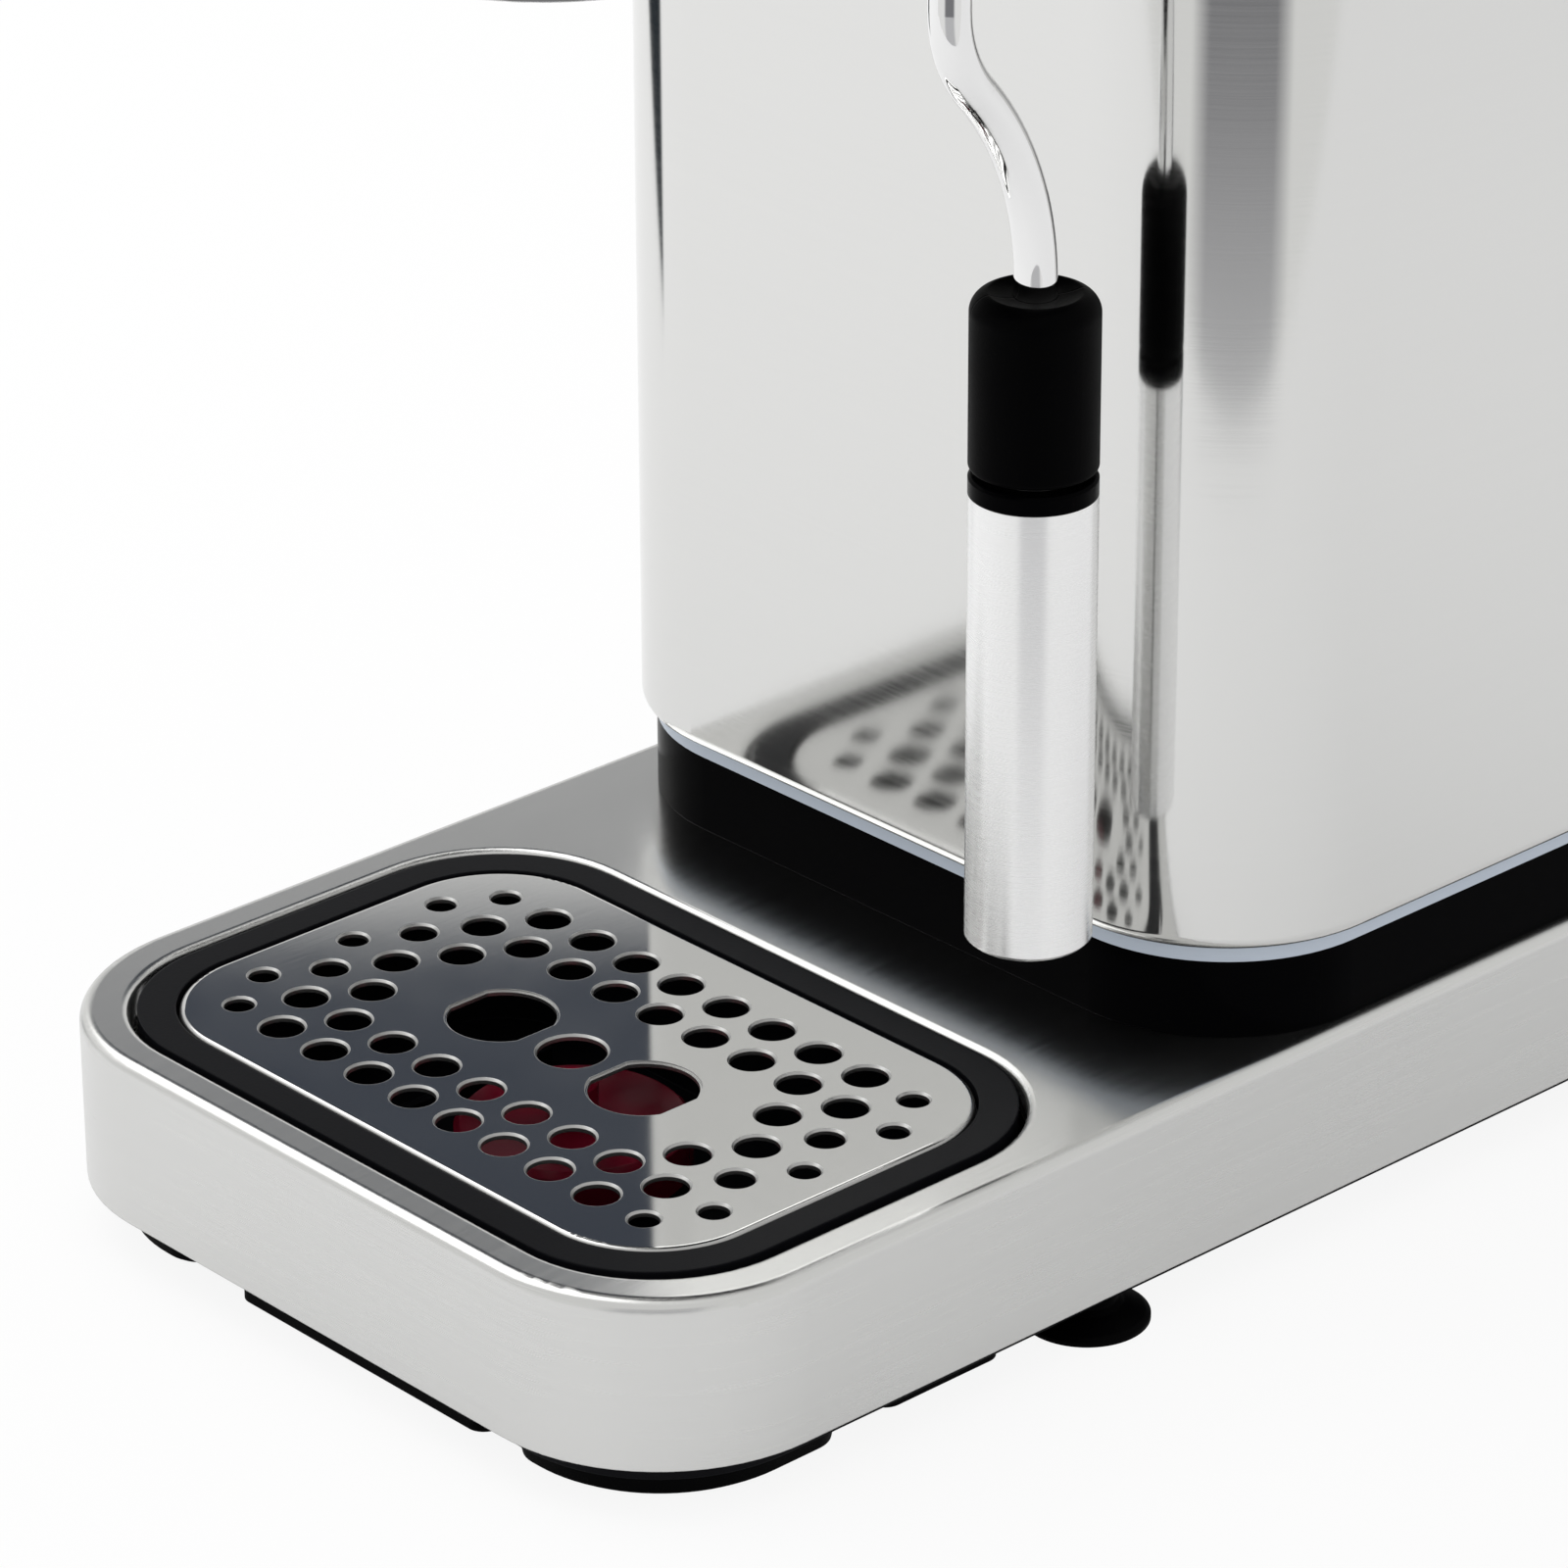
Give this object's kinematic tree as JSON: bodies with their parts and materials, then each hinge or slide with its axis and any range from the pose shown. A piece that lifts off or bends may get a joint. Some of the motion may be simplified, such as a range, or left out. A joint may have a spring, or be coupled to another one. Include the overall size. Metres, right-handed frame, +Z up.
{
  "type": "countertop hot drink machine with steam wand",
  "caption": "Slim countertop hot-drink machine: steel base with lift-out drip tray, polished column on a lit strip, overhanging head, swivelling steam wand and rear water tank.",
  "frame": {"origin": "on the worktop, at the centre of the base's outline", "axes": "+X across the machine towards the wand's side, -Y towards the user, +Z up"},
  "size_m": [0.1528, 0.28, 0.3116],
  "materials": {
    "satin_steel": "fine brushed stainless steel",
    "mirror_steel": "polished stainless steel with faint brushing",
    "polished_steel": "polished stainless steel",
    "black_plastic": "satin black moulding",
    "gloss_black": "gloss black",
    "black_rubber": "matte black rubber",
    "chrome": "polished",
    "button_metal": "satin chrome",
    "red_float": "translucent red",
    "light_strip": "milky white, lit from behind",
    "tank_plastic": "smoked clear plastic",
    "brass": "machined",
    "aluminium": "cast",
    "board_green": "printed circuit board",
    "pump_plastic": "glass-filled plastic",
    "white_plastic": "low-friction white plastic",
    "fastener": "zinc plated"
  },
  "bodies": {
    "machine": {"base_shell": "satin_steel", "head_shell": "satin_steel", "cup_shelf": "satin_steel", "column_shell": "mirror_steel", "bottom_pan": "black_plastic", "chassis": "black_plastic", "head_floor": "black_plastic", "tank_socket": "black_plastic", "plinth": "gloss_black", "control_panel": "gloss_black", "front_pads": "black_rubber", "foot_front_left": "black_rubber", "foot_front_right": "black_rubber", "foot_rear_left": "black_rubber", "foot_rear_right": "black_rubber", "cable_gland": "black_rubber", "pump_mounts": "black_rubber", "group_gasket": "black_rubber", "wand_socket": "chrome", "group_ring": "chrome", "light_strip": "light_strip", "steam_valve": "brass", "group_body": "aluminium", "thermoblock": "aluminium", "control_board": "board_green", "pump": "pump_plastic", "shower_screen": "polished_steel", "screen_screw": "fastener", "pan_screws": "fastener"},
    "tray": {"drip_tray": "black_plastic"},
    "grate": {"drip_grate": "polished_steel"},
    "float": {"tray_float": "red_float"},
    "swivel": {"ball_seat": "white_plastic"},
    "wand": {"wand_ball": "chrome", "wand_tube": "chrome", "wand_grip": "black_rubber", "wand_tip": "polished_steel", "tip_seals": "black_rubber"},
    "sleeve": {"sleeve_collar": "gloss_black", "froth_sleeve": "satin_steel"},
    "knob": {"steam_knob": "black_plastic", "knob_shaft": "brass"},
    "button_single": {"button_single": "button_metal"},
    "button_double": {"button_double": "button_metal"},
    "button_steam": {"button_steam": "button_metal"},
    "tank": {"water_tank": "tank_plastic", "tank_valve": "black_plastic", "lid_pin": "fastener"},
    "lid": {"tank_lid": "black_plastic"}
  },
  "joints": [
    {"name": "tray_lift", "type": "slide", "parent": "machine", "child": "tray", "axis": [0, 0, 1], "range_m": [0, 0.02]},
    {"name": "grate_lift", "type": "slide", "parent": "tray", "child": "grate", "axis": [0, 0, 1], "range_m": [0, 0.018]},
    {"name": "float_rise", "type": "slide", "parent": "tray", "child": "float", "axis": [0, 0, 1], "range_m": [0, 0.007]},
    {"name": "wand_swivel", "type": "hinge", "parent": "machine", "child": "swivel", "pos_m": [0.059, -0.06517, 0.2295], "axis": [0, 0, -1], "range_deg": [-30, 45]},
    {"name": "wand_tilt", "type": "hinge", "parent": "swivel", "child": "wand", "pos_m": [0.059, -0.06517, 0.2295], "axis": [0, -1, 0], "range_deg": [0, 22]},
    {"name": "sleeve_pull", "type": "slide", "parent": "wand", "child": "sleeve", "axis": [0, 0, -1], "range_m": [0, 0.02]},
    {"name": "knob_turn", "type": "hinge", "parent": "machine", "child": "knob", "pos_m": [0.0255, -0.126, 0.27325], "axis": [0, -1, 0], "range_deg": [0, 270]},
    {"name": "press_single", "type": "slide", "parent": "machine", "child": "button_single", "axis": [0, 1, 0], "range_m": [0, 0.0015], "stiffness_N_per_m": 300},
    {"name": "press_double", "type": "slide", "parent": "machine", "child": "button_double", "axis": [0, 1, 0], "range_m": [0, 0.0015], "stiffness_N_per_m": 300},
    {"name": "press_steam", "type": "slide", "parent": "machine", "child": "button_steam", "axis": [0, 1, 0], "range_m": [0, 0.0015], "stiffness_N_per_m": 300},
    {"name": "tank_lift", "type": "slide", "parent": "machine", "child": "tank", "axis": [0, 0, 1], "range_m": [0, 0.04]},
    {"name": "lid_open", "type": "hinge", "parent": "tank", "child": "lid", "pos_m": [0, 0.126, 0.3078], "axis": [-1, 0, 0], "range_deg": [0, 95]}
  ]
}
